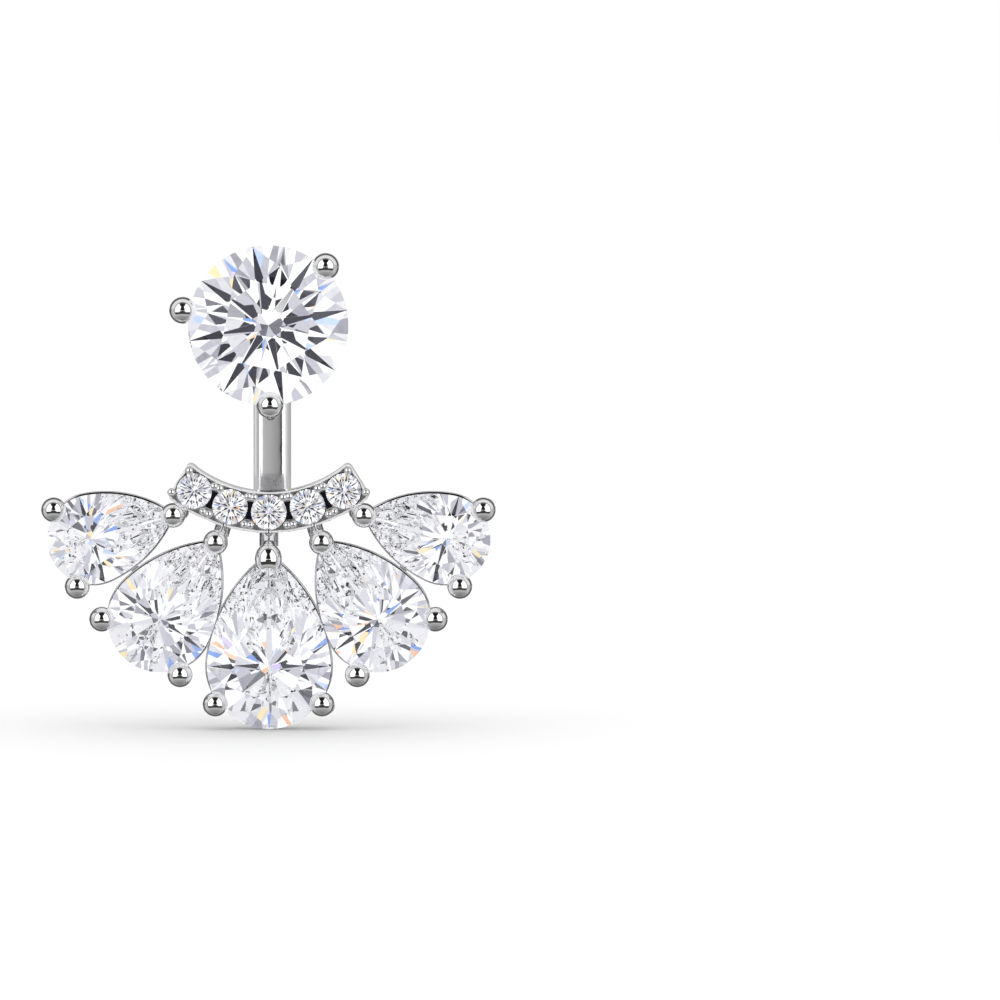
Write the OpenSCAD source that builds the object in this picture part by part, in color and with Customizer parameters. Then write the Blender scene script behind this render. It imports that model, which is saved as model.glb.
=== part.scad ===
// Ear jacket earring: a round solitaire stud, and a jacket that hangs on its post behind the lobe
// and comes forward under it as a curved pave band with a fan of five pear stones.
// Everything is drawn as seen from the front: x to the right, y up, z towards the viewer. The last
// step of each piece stands it up, so that z becomes -Y. The origin is on the post, mid lobe.

/* [Ear and post] */
// Thickness of the ear lobe that the earring leaves room for
lobe_gap = 4.6; // [4.2:0.1:6]
// Diameter of the ear post
post_d = 0.8; // [0.7:0.05:1]
// Length of the ear post behind the stud's cup
post_l = 10.6; // [9.5:0.1:12]
// Radial running clearance of the jacket's loop on the post
loop_clear = 0.06; // [0.03:0.01:0.1]
// Diameter of the jacket's loop
loop_d = 2.6; // [2.2:0.1:3.2]
// Thickness of the jacket's loop and bar
bar_t = 0.7; // [0.5:0.05:0.9]

/* [Stud] */
// Diameter of the round stone of the stud
stud_stone_d = 6.4; // [6:0.1:7]
// Diameter of the ball tips of the stud's prongs
stud_ball_d = 1.08; // [0.9:0.02:1.2]
// Diameter of the prong wires of the stud
stud_wire_d = 0.56; // [0.5:0.02:0.7]
// Angle of the stud stone's first facet, for a turn that looks set by hand
stud_stone_turn = 11; // [0:1:44]

/* [Bar] */
// Width of the bar
bar_w = 1.52; // [1.2:0.02:1.8]
// Chamfer along the bar's front edges
bar_chamfer = 0.3; // [0.1:0.05:0.35]
// Radius of the bend to the bar's middle
bend_r = 0.9; // [0.8:0.05:1.5]
// Height of the run under the lobe, measured down from the post
run_drop = 7.86; // [7.7:0.02:8]

/* [Pave band] */
// Distance of the band's centre of curvature below the post
band_drop = 1.83; // [1.6:0.01:2]
// Radius of the band's upper edge
band_inner_r = 4.84; // [4.8:0.01:4.9]
// Radius of the band's lower edge
band_outer_r = 6.48; // [6.4:0.01:6.6]
// Depth of the band from front to back
band_depth = 1.5; // [1.2:0.1:1.8]
// Width of the raised rim along the band's inner edge
rim_w = 0.11; // [0.1:0.01:0.14]
// Height of the rim over the band's face, all round
rim_h = 0.12; // [0.1:0.01:0.2]
// Diameter of the small stones
small_stone_d = 1.42; // [1.36:0.01:1.44]
// Angle from each small stone to the next
small_pitch = 15.9; // [15.5:0.1:16.5]
// Distance from the last stone's centre to the band's end
band_end = 0.79; // [0.79:0.01:0.9]
// Diameter of the beads that hold the small stones
bead_d = 0.26; // [0.22:0.02:0.28]

/* [Fan of pear stones] */
// Width of the middle pear stone
pear_mid_w = 4.96; // [4.8:0.02:5]
// Length of the middle pear stone
pear_mid_l = 6.98; // [6.8:0.02:7.1]
// Width of the two pear stones beside it
pear_side_w = 4.2; // [4:0.02:4.3]
// Length of the two pear stones beside it
pear_side_l = 5.95; // [5.8:0.05:6]
// Width of the two outermost pear stones
pear_end_w = 3.58; // [3.4:0.02:3.6]
// Length of the two outermost pear stones
pear_end_l = 5.2; // [5:0.05:5.3]
// Height of the pears' girdles in front of the post's middle
pear_z = 4.5; // [4.3:0.1:4.8]
// Diameter of the ball tips of the fan's prongs
ball_d = 1; // [0.9:0.02:1.06]
// Diameter of the prong wires of the fan
wire_d = 0.6; // [0.5:0.02:0.64]
// Angle of the two ball prongs from the pear's axis
prong_angle = 56; // [50:1:60]

/* [Ear nut] */
// Width of the nut's plate
nut_w = 4.6; // [4:0.1:5.5]
// Diameter of the nut's two rolls
nut_roll_d = 1.9; // [1.6:0.1:2.1]

/* [Hidden] */
$fn = 64;

metal = [0.80, 0.80, 0.82];
stone = [0.90, 0.94, 1.00];
gap = 0.035;           // between a stone and its metal
joint = 1.04;          // a ball at a wire's bend is this much fatter than the wire
eps = 0.01;

// Facet rules shared by all brilliants, as shares of the stone's half width
crown_share = 0.302;
table_share = 0.56;
star_share = 0.68;
lower_share = 0.86;
pavilion_share = 0.86;
girdle_share = 0.055;

// Stud heights, from the back
cup_z = lobe_gap / 2;
cup_t = 0.3;
cup_d = 1.9;
stud_r = stud_stone_d / 2;
stud_culet_z = cup_z + cup_t + 0.05;
stud_girdle_z = stud_culet_z + stud_r * (pavilion_share + girdle_share);
stud_wire_r = stud_wire_d / 2;
stud_ball_r = stud_ball_d / 2;
stud_foot_r = 0.55;    // where the prongs leave the cup
stud_elbow_z = stud_girdle_z - 0.35;
stud_foot_z = cup_z + cup_t / 2;
// Each row is a prong: its angle, and how far its ball sits outside the stone's edge
STUD_PRONGS = [[169.5, 0.24], [45.8, 0.11], [-88.3, -0.06]];

// Loop, bar and band
loop_front = -lobe_gap / 2;
bar_mid_z = loop_front - bar_t / 2;
post_back = cup_z - post_l;
bend_y = bend_r - run_drop;
band_front = pear_z;
band_back = band_front - band_depth;
band_mid_r = (band_inner_r + band_outer_r) / 2;
small_r = small_stone_d / 2;
small_half = 2;        // small stones on each side of the middle one
end_angle = small_half * small_pitch;

// Fan: each row is a pear: x and y of its round end's middle, axis from the tip, half width,
// length from that middle to the tip, the angle past the widest point where the side arcs start,
// and how far the middles of its two balls lie outside its edge
END_PEAR = [7.07, -8.58, -17, pear_end_w / 2, pear_end_l - pear_end_w / 2, 7, 0.14];
SIDE_PEAR = [4.35, -11.8, -54.5, pear_side_w / 2, pear_side_l - pear_side_w / 2, 10, 0.21];
MID_PEAR = [0, -13.69, -90, pear_mid_w / 2, pear_mid_l - pear_mid_w / 2, 6, 0.09];
PEARS = [turned(END_PEAR), turned(SIDE_PEAR), MID_PEAR, SIDE_PEAR, END_PEAR];
wire_r = wire_d / 2;
ball_r = ball_d / 2;
rail_w = 0.28;
rail_t = 0.45;
rail_out = 0.08;       // upper rail's edge outside the stone's
rail_down = 0.38;      // upper rail's face behind the girdle
foot_share = 0.8;      // depth of the lower rail's face, as a share of the half width
foot_scale = 0.5;      // lower rail against the stone's outline
foot_t = 0.4;
wire_top = 0.12;       // where a prong's wire turns in to its ball, in front of the girdle
crown_slope = 42;      // steepest stretch of a crown at its edge
tip_slope = 21;        // slope of a pear's crown at the tip
side_neck_r = 0.32;
mid_neck_r = 0.38;
// Where neighbouring upper rails are soldered: x and y
SOLDER = [[5.37, -9.77], [2.17, -12.21]];

// Ear nut
nut_gap = 0.15;        // between the jacket's loop and the nut
nut_plate_t = 0.4;
nut_h = nut_w * 0.72;
nut_roll_l = nut_w / 2;
nut_sheet_t = 0.35;
nut_clear = 0.02;

function turned(p) = [-p[0], p[1], 180 - p[2], p[3], p[4], p[5], p[6]];

// Outline of a pear in its own axes: the round end's middle is the origin and the tip is at -x.
// r is the half width, h the length to the tip, b the angle past 90 where the side arcs start.
function side_arc(r, h, b) = (h * h - r * r) / (2 * (r - h * sin(b)));
function edge(r, h, b, a) =
    let (w = a > 180 ? 360 - a : a)
    w <= 90 + b ? r :
    let (q = side_arc(r, h, b), m = -q * sin(w - b))
    m + sqrt(m * m + (r + q) * (r + q) - q * q);
function edge_point(r, h, b, a) = edge(r, h, b, a) * [cos(a), sin(a)];
function unit(v) = v / norm(v);
function edge_normal(r, h, b, a) =
    let (w = a > 180 ? 360 - a : a, s = a > 180 ? -1 : 1)
    h <= r || w <= 90 + b ? [cos(a), sin(a)] :
    w > 179 ? [-1, 0] :
    let (q = side_arc(r, h, b))
    unit(edge_point(r, h, b, a) - q * [sin(b), -s * cos(b)]);
function cross2(u, v) = u[0] * v[1] - u[1] * v[0];
// Where the tangents at two of the eight main facets meet
function corner(r, h, b, i) =
    let (n = edge_normal(r, h, b, 45 * i), m = edge_normal(r, h, b, 45 * ((i + 1) % 8)))
    let (d = n * edge_point(r, h, b, 45 * i), e = m * edge_point(r, h, b, 45 * ((i + 1) % 8)))
    [d * m[1] - e * n[1], n[0] * e - m[0] * d] / cross2(n, m);
// How far a girdle point dips below its half facet's ends, against the facet's own height
function dip(a, z, tip, p) = cross2(z - a, p - a) / cross2(z - a, tip - a);
function flat(p, z) = [p[0], p[1], z];
// How far a ball's middle has to stand in front of the girdle to clear the crown
function ball_rise(r, out, slope) = (r + gap - out * sin(slope)) / cos(slope);

// A brilliant with a table, 8 stars, 8 kites, 16 upper halves, 16 lower halves and 8 pavilion mains.
// z = 0 is the girdle's upper edge, and steps is the number of girdle faces under each half facet.
module brilliant(r, h, b, steps) {
    n = 16 * steps;
    crown = crown_share * r;
    girdle = girdle_share * r;
    pavilion = pavilion_share * r;
    in_star = 1 - (1 - table_share) * star_share;
    star_z = crown * star_share;
    low_z = -girdle - pavilion * lower_share;
    V = [for (i = [0:7]) corner(r, h, b, i)];
    TABLE = [for (i = [0:7]) flat(table_share * edge_point(r, h, b, 45 * i), crown)];
    STAR = [for (i = [0:7]) flat(in_star * V[i], star_z)];
    LOW = [for (i = [0:7]) flat((1 - lower_share) * V[i], low_z)];
    RING = [for (j = [0:n - 1])
        let (s = floor(j / steps), k = floor(s / 2))
        let (from = edge_point(r, h, b, 22.5 * s), to = edge_point(r, h, b, 22.5 * ((s + 1) % 16)))
        let (p = edge_point(r, h, b, 360 * j / n))
        let (up = dip(from, to, in_star * V[k], p), under = dip(from, to, (1 - lower_share) * V[k], p))
        [flat(p, star_z * up), flat(p, -girdle + (low_z + girdle) * under)]];
    top = 16;
    bottom = top + n;
    low = bottom + n;
    culet = low + 8;
    polyhedron(
        points = concat(TABLE, STAR, [for (q = RING) q[0]], [for (q = RING) q[1]], LOW,
            [[0, 0, -girdle - pavilion]]),
        faces = concat(
            [[for (i = [7:-1:0]) i]],
            [for (i = [0:7]) [(i + 1) % 8, 8 + i, i]],
            [for (i = [0:7]) [8 + i, top + 2 * steps * i, 8 + (i + 7) % 8, i]],
            [for (s = [0:15]) concat([8 + floor(s / 2)],
                [for (j = [steps:-1:0]) top + (s * steps + j) % n])],
            [for (j = [0:n - 1]) [top + j, top + (j + 1) % n, bottom + (j + 1) % n, bottom + j]],
            [for (s = [0:15]) concat([low + floor(s / 2)],
                [for (j = [0:steps]) bottom + (s * steps + j) % n])],
            [for (i = [0:7]) [culet, low + (i + 7) % 8, bottom + 2 * steps * i, low + i]]));
}

// Stands a piece up: z becomes -Y and y becomes Z
module upright() { rotate([90, 0, 0]) children(); }

module in_ring(a) { rotate([0, 0, a]) children(); }

// Places in the band, counted from its middle at the bottom
module on_band(a) { translate([0, -band_drop, 0]) rotate([0, 0, a]) children(); }

module at_pear(p) { translate([p[0], p[1], pear_z]) rotate([0, 0, p[2]]) children(); }

// A straight wire between two points, with a slightly fatter ball at its end
module wire(from, to, r, ball = true) {
    d = to - from;
    translate(from) rotate([0, acos(d[2] / norm(d)), atan2(d[1], d[0])]) cylinder(r = r, h = norm(d));
    if (ball) translate(to) sphere(r = r * joint);
}

// Upper end of a prong beside a stone of half width r: straight past the girdle, then in to its ball
module prong_end(r, low, out, wire_r, ball_r) {
    side = r + wire_r + gap;
    wire([side, 0, low], [side, 0, wire_top], wire_r);
    wire([side, 0, wire_top], [r + out, 0, ball_rise(ball_r, out, crown_slope)], wire_r * 0.93, false);
    translate([r + out, 0, ball_rise(ball_r, out, crown_slope)]) sphere(r = ball_r);
}

// One stud prong: along the stone's underside, then past the girdle to its ball
module stud_prong(out) {
    elbow = [stud_r + stud_wire_r + gap, 0, stud_elbow_z];
    wire([stud_foot_r, 0, stud_foot_z], elbow, stud_wire_r);
    translate([0, 0, stud_girdle_z])
        prong_end(stud_r, stud_elbow_z - stud_girdle_z, out, stud_wire_r, stud_ball_r);
}

module stud_setting() {
    point_l = 0.25;
    ring_at = 0.45;    // gallery ring's share of the way up the prongs
    ring_wire_r = 0.24;
    ring_r = stud_foot_r + ring_at * (stud_r + stud_wire_r + gap - stud_foot_r) + 0.1;
    color(metal) upright() {
        translate([0, 0, post_back + point_l]) cylinder(d = post_d, h = post_l - point_l);
        translate([0, 0, post_back]) cylinder(d1 = post_d * 0.45, d2 = post_d, h = point_l);
        translate([0, 0, cup_z - eps]) cylinder(d = cup_d, h = cup_t);
        for (p = STUD_PRONGS) in_ring(p[0]) stud_prong(p[1]);
        translate([0, 0, stud_foot_z + ring_at * (stud_elbow_z - stud_foot_z)])
            rotate_extrude() translate([ring_r, 0]) circle(r = ring_wire_r);
    }
}

module stud_stone() {
    color(stone) upright() translate([0, 0, stud_girdle_z]) rotate([0, 0, stud_stone_turn])
        brilliant(stud_r, stud_r, 0, 3);
}

// Friction nut: a plate with two straight sides, and two rolls that grip the post between them
module ear_nut() {
    plate_front = loop_front - bar_t - nut_gap;
    roll_r = nut_roll_d / 2;
    roll_z = plate_front - nut_plate_t - roll_r + 0.15;
    color(metal) upright() difference() {
        union() {
            intersection() {
                translate([0, 0, plate_front - nut_plate_t]) cylinder(d = nut_w, h = nut_plate_t);
                translate([0, 0, plate_front]) cube([2 * nut_w, nut_h, 2], center = true);
            }
            for (s = [-1, 1]) translate([s * roll_r * 1.02, 0, roll_z]) rotate([90, 0, 0]) difference() {
                cylinder(r = roll_r, h = nut_roll_l, center = true);
                cylinder(r = roll_r - nut_sheet_t, h = 2 * nut_roll_l, center = true);
            }
        }
        translate([0, 0, post_back]) cylinder(r = post_d / 2 + nut_clear, h = post_l);
    }
}

// Cross-section of the bar, with its front face on the +y side
module bar_section() {
    w = bar_w / 2;
    t = bar_t / 2;
    polygon([[-w, -t], [w, -t], [w, t - bar_chamfer * 0.6], [w - bar_chamfer, t],
        [bar_chamfer - w, t], [-w, t - bar_chamfer * 0.6]]);
}

// Loop on the post, bar behind the lobe, bend, and run forward to the band
module bar() {
    difference() {
        union() {
            translate([0, 0, bar_mid_z - bar_t / 2]) cylinder(d = loop_d, h = bar_t);
            translate([0, bend_y, bar_mid_z]) rotate([-90, 0, 0]) mirror([0, 1, 0])
                linear_extrude(-bend_y - 0.6) bar_section();
        }
        translate([0, 0, bar_mid_z - bar_t]) cylinder(r = post_d / 2 + loop_clear, h = 2 * bar_t);
    }
    translate([0, bend_y, bar_mid_z + bend_r]) rotate([0, 90, 0]) rotate([0, 0, -90])
        rotate_extrude(angle = 90) translate([bend_r, 0]) rotate([0, 0, 90]) bar_section();
    translate([0, -run_drop, bar_mid_z + bend_r]) linear_extrude(band_back + 0.3 - bar_mid_z - bend_r)
        bar_section();
}

// Front view of the band: a ring between two radii, cut parallel to the end stones' own radii
module band_outline(inner, outer, end) {
    reach = 2 * outer;
    across = end * cos(end_angle) + reach * sin(end_angle);
    low = end * sin(end_angle) - reach * cos(end_angle);
    intersection() {
        difference() { circle(r = outer); circle(r = inner); }
        polygon([[0, end / sin(end_angle)], [-across, low], [across, low]]);
    }
}

// The pave band: body with seats, holes and slots, raised rim, and the beads over its face
module band() {
    rim_low = rim_w * 0.6;
    seat_down = 0.35;
    hole_r = 0.46;
    slot = [0.13, 0.66, 0.9];
    bead_r = bead_d / 2;
    bead_up = 0.1;
    bead_off = 0.56;   // from the band's middle line, inwards and outwards
    bead_side = 0.12;  // from the line between two stones
    difference() {
        translate([0, -band_drop, band_back]) linear_extrude(band_depth + rim_h)
            band_outline(band_inner_r, band_outer_r, band_end);
        translate([0, -band_drop, band_front]) linear_extrude(1)
            band_outline(band_inner_r + rim_w, band_outer_r - rim_low, band_end - rim_low);
        for (k = [-small_half:small_half]) on_band(small_pitch * k)
            translate([0, -band_mid_r, band_front - seat_down]) {
                cylinder(r = small_r + gap, h = 1);
                translate([0, 0, -band_depth]) cylinder(r = hole_r, h = band_depth + eps);
            }
        for (k = [-small_half:small_half - 1]) on_band(small_pitch * (k + 0.5))
            translate([0, -band_mid_r, band_front]) cube(slot, center = true);
    }
    for (k = [-small_half:small_half], side = [-1, 1], row = [-1, 1])
        on_band(small_pitch * (k + side / 2) - side * asin(bead_side / (band_mid_r + row * bead_off)))
            translate([0, -band_mid_r - row * bead_off, band_front + bead_up]) sphere(r = bead_r);
}

module pear_outline(p, grow) {
    polygon([for (a = [0:9:351]) edge_point(p[3] + grow, p[4] + grow, p[5], a)]);
}

module pear_rail(p, grow, t) {
    linear_extrude(t) difference() {
        pear_outline(p, grow);
        pear_outline(p, grow - rail_w);
    }
}

// One of the two ball prongs at a pear's round end, from the lower rail to its ball
module pear_prong(r, out) {
    elbow = [r + wire_r + gap, 0, -rail_down - rail_t / 2];
    foot = [foot_scale * r, 0, -foot_share * r - foot_t / 2];
    wire(foot, elbow, wire_r);
    prong_end(r, elbow[2], out, wire_r, ball_r);
}

// The post behind a pear's tip, from the lower rail to just under what holds the tip
module tip_post(r, h) {
    top = [-h - wire_r - gap, 0, wire_top - 0.04];
    elbow = [top[0], 0, -rail_down - rail_t / 2];
    foot = [-foot_scale * h, 0, -foot_share * r - foot_t / 2];
    wire(foot, elbow, wire_r);
    wire(elbow, top, wire_r);
    wire(top, [-h, 0, ball_rise(ball_r, 0, tip_slope)], wire_r * 0.93, false);
}

// Open setting of one pear: two rails, two ball prongs and the post behind the tip
module pear_setting(p) {
    r = p[3];
    lower = [0, 0, 0, foot_scale * r, foot_scale * p[4], p[5]];
    translate([0, 0, -rail_down - rail_t]) pear_rail(p, rail_out, rail_t);
    translate([0, 0, -foot_share * r - foot_t]) pear_rail(lower, rail_w / 2, foot_t);
    for (s = [-1, 1]) in_ring(s * prong_angle) pear_prong(r, p[6]);
    tip_post(r, p[4]);
}

// The middle pear's hood over its tip, with an arched lower edge
module hood(h) {
    back_r = 0.54;
    front_r = 0.53;
    back_out = 0.1;    // from the tip outwards
    front_in = 0.27;   // from the tip inwards
    arch_r = 0.55;
    arch_in = 0.98;
    back = [-h - back_out, 0, ball_rise(back_r, back_out, tip_slope)];
    front = [-h + front_in, 0, ball_rise(front_r, -front_in, tip_slope)];
    difference() {
        union() {
            translate(back) sphere(r = back_r);
            wire(back, front, 0.52, false);
            translate(front) sphere(r = front_r);
        }
        translate([-h + arch_in, 0, -1]) cylinder(r = arch_r, h = 4);
    }
}

// Place of a pear's tip post in the front view
function tip_place(p) =
    [p[0], p[1]] - (p[4] + wire_r + gap) * [cos(p[2]), sin(p[2])];

// Neck from the band to a pear's tip post, and the small bead where it leaves the band
module neck(p, r) {
    z = pear_z - r - 0.02;
    to = tip_place(p);
    away = unit(to + [0, band_drop]);
    root = away * (band_outer_r - 0.09) - [0, band_drop];
    bead = away * (band_outer_r - 0.02) - [0, band_drop];
    wire([root[0], root[1], z], [to[0], to[1], z], r);
    translate([bead[0], bead[1], pear_z]) sphere(r = bead_d / 2);
}

module jacket_frame() {
    outer_four = [0, 1, 3, 4];
    side_two = [1, 3];
    solder_r = 0.16;
    color(metal) upright() {
        bar();
        band();
        for (p = PEARS) at_pear(p) pear_setting(p);
        for (i = outer_four) at_pear(PEARS[i])
            translate([-PEARS[i][4], 0, ball_rise(ball_r, 0, tip_slope)]) sphere(r = ball_r);
        at_pear(MID_PEAR) hood(MID_PEAR[4]);
        for (i = side_two) neck(PEARS[i], side_neck_r);
        neck(MID_PEAR, mid_neck_r);
        for (q = SOLDER, s = [-1, 1]) translate([s * q[0], q[1], pear_z - rail_down - rail_t * 0.9])
            cylinder(r = solder_r, h = rail_t * 0.8);
    }
}

module small_stone(i) {
    color(stone) upright() on_band(small_pitch * (i - 1 - small_half))
        translate([0, -band_mid_r, band_front]) brilliant(small_r, small_r, 0, 2);
}

module pear_stone(i) {
    p = PEARS[i - 1];
    color(stone) upright() at_pear(p) brilliant(p[3], p[4], p[5], 3);
}

stud_setting();
stud_stone();
ear_nut();
jacket_frame();
small_stone(1);  // pave_stone_1
small_stone(2);  // pave_stone_2
small_stone(3);  // pave_stone_3
small_stone(4);  // pave_stone_4
small_stone(5);  // pave_stone_5
pear_stone(1);  // pear_stone_1
pear_stone(2);  // pear_stone_2
pear_stone(3);  // pear_stone_3
pear_stone(4);  // pear_stone_4
pear_stone(5);  // pear_stone_5
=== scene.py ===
import math
from collections import namedtuple

import bpy
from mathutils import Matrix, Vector


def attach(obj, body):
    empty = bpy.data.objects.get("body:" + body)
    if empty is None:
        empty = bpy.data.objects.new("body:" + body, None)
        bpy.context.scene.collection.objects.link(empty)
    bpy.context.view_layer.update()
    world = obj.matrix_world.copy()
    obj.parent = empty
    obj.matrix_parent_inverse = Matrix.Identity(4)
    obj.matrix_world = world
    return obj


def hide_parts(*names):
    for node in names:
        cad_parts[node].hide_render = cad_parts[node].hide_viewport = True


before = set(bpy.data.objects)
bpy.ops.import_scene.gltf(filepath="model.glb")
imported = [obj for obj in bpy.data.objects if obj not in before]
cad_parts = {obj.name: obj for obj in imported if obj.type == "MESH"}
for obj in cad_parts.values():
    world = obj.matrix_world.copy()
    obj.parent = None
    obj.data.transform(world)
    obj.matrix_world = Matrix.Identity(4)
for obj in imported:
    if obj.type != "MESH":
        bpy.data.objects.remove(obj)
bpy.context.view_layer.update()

# Pieces are drawn in millimetres as seen from the front: x right, y up, z towards the viewer.
# The origin is on the ear post, in the middle of the lobe, and finish_piece stands them up in metres.
MM = 0.001
GAP = 0.035               # between a stone and its metal
FRONT = Vector((0, 0, 1))

# Post, bar and nut
LOBE_GAP = 4.6
POST_R = 0.4
POST_BACK = -8.3
POST_POINT = 0.25         # rounding of the post's end
CUP_R = 0.95
CUP_T = 0.3
CUP_RIM = 0.2
CUP_DISH = 0.12
LOOP_R = 1.3
LOOP_BORE_R = 0.46
BAR_W = 1.52
BAR_T = 0.7
BAR_CHAMFER = 0.26
BAR_SHOULDER = 0.03       # small rounding between the bar's face and its chamfers
BAR_CROWN = 0.022         # rise of the bar's face in its middle
BAR_FACE_CUTS = 9         # edges that the crown is drawn with
BAR_TOP = -0.75           # its upper end, in the loop's ring
BAR_SINK = 0.3            # how far the run goes into the band
BEND_R = 0.9
BEND_EASE = 0.1           # short stretch above the bend, so that the long face shades flat
RUN_DROP = 7.86
NUT_W = 4.6
NUT_T = 0.4
NUT_GAP = 0.15
NUT_FLAT = 0.36           # from the post up to the plate's flat side, against its width
NUT_BORE_R = POST_R + 0.02
ROLL_R = 0.95
ROLL_SHEET = 0.35
ROLL_TURN = 325
ROLL_SINK = 0.15
SHEET_ROUND = 0.06

# Stud. Its stone and all the others are the frame's own, dressed by dress_stones
STUD_R = 3.2
STUD_WIRE_R = 0.28
STUD_BALL_R = 0.54
STUD_FOOT_R = 0.55
PAVILION_SHARE = 0.915    # culet below the girdle's upper edge, against the half width
CUP_Z = LOBE_GAP / 2
STUD_GIRDLE_Z = CUP_Z + CUP_T + 0.05 + STUD_R * PAVILION_SHARE
STUD_ELBOW_Z = STUD_GIRDLE_Z - 0.35
STUD_FOOT_Z = CUP_Z + CUP_T / 2
GALLERY_SHARE = 0.45      # where the ring that ties the prongs lies, between their feet and elbows
GALLERY_OUT = 0.1
GALLERY_WIRE_R = 0.24
# Each row is a prong: its angle in degrees, and how far its ball sits outside the stone's edge
STUD_PRONGS = ((169.5, 0.24), (45.8, 0.11), (-88.3, -0.06))

# Pave band
BAND_DROP = 1.83
BAND_INNER_R = 4.84
BAND_OUTER_R = 6.48
BAND_MID_R = (BAND_INNER_R + BAND_OUTER_R) / 2
BAND_FRONT = 4.5
BAND_DEPTH = 1.5
RIM_H = 0.12
RIM_W = 0.1
RIM_EDGE = 0.02
SMALL_R = 0.71
SMALL_PITCH = 15.9
SMALL_HALF = 2            # small stones on each side of the middle one
SEAT_DEPTH = 0.35
SEAT_HOLE_R = 0.46
BAND_END = 0.79           # from the last stone's centre to the band's end
BAND_UPPER_CORNER = 0.24
BAND_LOWER_CORNER = 0.16
BEAD_R = 0.165
BEAD_ROW = 0.56           # from the band's middle line to each row of beads
BEAD_SPREAD = 0.12        # from each bead to the middle of its pair
BEAD_RISE = 0.1
SLOT_W = 0.26
SLOT_L = 0.74
SLOT_DEPTH = 0.45

# Fan of pears
Pear = namedtuple("Pear", "x y axis half_width length shoulder ball_out")
END_PEAR = Pear(7.07, -8.58, -17, 1.79, 3.41, 7, 0.14)
SIDE_PEAR = Pear(4.35, -11.8, -54.5, 2.1, 3.85, 10, 0.21)
MID_PEAR = Pear(0, -13.69, -90, 2.48, 4.5, 6, 0.09)
PEAR_Z = 4.5
WIRE_R = 0.3
WIRE_BEND = 1.3           # radius of a wire's bends, against its own
BALL_R = 0.5
PRONG_ANGLE = 56
RAIL_W = 0.28
RAIL_T = 0.45
RAIL_OUT = 0.08
RAIL_DOWN = 0.38
RAIL_ROUND = 0.06
RAIL_TUCK = 0.93          # the rails' round end is drawn in to this share, under the stone's edge
FOOT_SHARE = 0.8
FOOT_SCALE = 0.5
FOOT_T = 0.4
WIRE_TOP = 0.12           # where the prongs turn in to their balls, in front of the stone's edge
TIP_WIRE_TOP = 0.08
HOOD_R = 0.54             # the middle pear's hood: the egg's half width, and its stretch above and below
HOOD_ABOVE = 1.18
HOOD_BELOW = 1.25
HOOD_IN = 0.13            # from the stone's tip down to its widest line
HOOD_ARCH = 0.35          # from there down to the arch that ends it, and the arch's radius
HOOD_ARCH_R = 0.62
CROWN_SLOPE = 42
TIP_SLOPE = 21
NECK_R = 0.32
MID_NECK_R = 0.38
NECK_SINK = 0.09          # how far the necks' roots lie inside the band's edge
SOLDER_R = 0.16
SOLDER_PLACES = ((5.37, -9.77), (2.17, -12.21))

# Camera: a long lens a little above the earring, 40 mm across at the fan
VIEW_WIDTH = 40.0 * MM
VIEW_DISTANCE = 0.45
VIEW_ANGLE = math.radians(2.5)
VIEW_CENTRE = Vector((9.24 * MM, -4.0 * MM, -7.02 * MM))
FLOOR_Z = -16.18 * MM

# Finishes: two tones of each metal and stone
WHITE_METAL = ((0.86, 0.86, 0.865), (0.885, 0.885, 0.89))
# Painted shade: the necks' metal is darker, as if shadowed between the band and the pears
NECK_PAINTED_SHADE_METAL = ((0.5, 0.5, 0.51), (0.58, 0.58, 0.59))
NUT_METAL = ((0.8, 0.8, 0.81), (0.84, 0.84, 0.85))
STUD_STONE = ((1.0, 1.0, 1.0), (0.985, 0.99, 1.0))
PEAR_STONE = ((0.95, 0.95, 0.965), (0.91, 0.915, 0.935))
SMALL_STONE = ((1.0, 1.0, 1.0), (0.99, 0.99, 0.995))
STUD_GLINT = (0.25, 0.25, 0.28)
STONE_GLINT = (0.42, 0.42, 0.44)
# Painted highlight: the band's rim gets a near-white, less metallic tone, over a real satin roughness
RIM_PAINTED_HIGHLIGHT = (0.95, 0.95, 0.95)
RIM_METALLIC = 0.3
RIM_SATIN = 0.4
# Painted shade: a darker tone on the band's sunk floor, inside the rim
PAVE_FLOOR_PAINTED_SHADE = (0.3, 0.3, 0.31)
# Painted shade: near black in the band's slots and below its floor
RECESS_PAINTED_SHADE = (0.02, 0.02, 0.025)
# Painted shade: a darker tone on the rails' fronts, under the stones' edges
RAIL_PAINTED_SHADE = (0.3, 0.3, 0.31)
BAR_FOOT = (-5.9, -6.6)   # heights between which the bar's polish turns satin
BAR_SATIN = 0.25          # roughness below them
STAGE_TONES = ((0.925, 0.925, 0.925), (0.935, 0.935, 0.935))
POLISH = (0.04, 0.07)     # roughness of the metals, from clear to cloudy
POLISH_BUMP = 0.12
GROUND_GIRDLE = 0.15      # roughness of the stones' girdles
SMALL_BLUR = 0.02         # roughness of the small stones, whose facets are too fine to be flat
STONE_IOR = 2.42
# Sizes of the cloudy polish, in patches to a metre
METAL_CLOUDS = 900
SHEET_CLOUDS = 1400
STONE_CLOUDS = 300
HAIRLINES = 3500
HAIRLINE_DEPTH = 0.02     # against the clouds' depth

# Studio light. Rows of the walls: degrees above eye level, brightness
SKY = 1.16
WALL_TONES = ((-90, 0.2), (-50, 0.36), (-30, 0.58), (-12, 0.56), (30, 0.5))
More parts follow.
